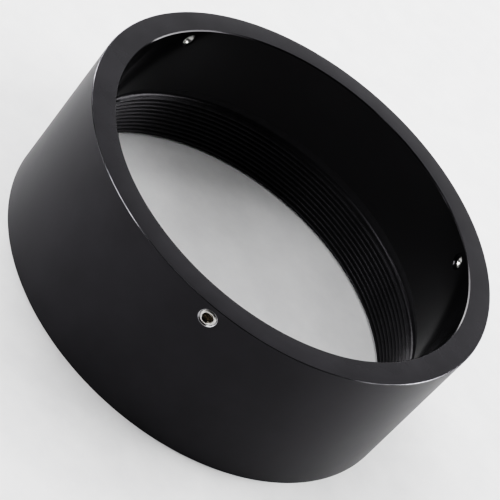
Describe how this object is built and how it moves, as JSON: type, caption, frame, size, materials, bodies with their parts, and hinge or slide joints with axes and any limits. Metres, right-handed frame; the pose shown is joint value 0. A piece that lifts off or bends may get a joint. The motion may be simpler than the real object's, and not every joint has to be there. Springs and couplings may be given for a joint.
{
  "type": "telescope adapter ring",
  "caption": "Black anodised ring with a smooth slip-fit bore at one end and a fine internal thread at the other, with radial set screws that clamp a tube.",
  "frame": {"origin": "centre of the threaded end's face, on the ring's axis", "axes": "+Z along the ring's axis from the threaded end towards the plain rim; -Y towards the first set screw"},
  "size_m": [0.0792, 0.0792, 0.0287],
  "materials": {
    "black_anodised_aluminium": "turned and satin black anodised",
    "stainless_steel": "bright, as machined"
  },
  "bodies": {
    "ring": {"adapter_ring": "black_anodised_aluminium"},
    "screw_1": {"set_screw_1": "stainless_steel"},
    "screw_2": {"set_screw_2": "stainless_steel"},
    "screw_3": {"set_screw_3": "stainless_steel"}
  },
  "joints": [
    {"name": "screw_1_travel", "type": "slide", "parent": "ring", "child": "screw_1", "axis": [0, 1, 0], "range_m": [-0.001, 0.0015]},
    {"name": "screw_2_travel", "type": "slide", "parent": "ring", "child": "screw_2", "axis": [-0.866, -0.5, 0], "range_m": [-0.001, 0.0015]},
    {"name": "screw_3_travel", "type": "slide", "parent": "ring", "child": "screw_3", "axis": [0.866, -0.5, 0], "range_m": [-0.001, 0.0015]}
  ]
}
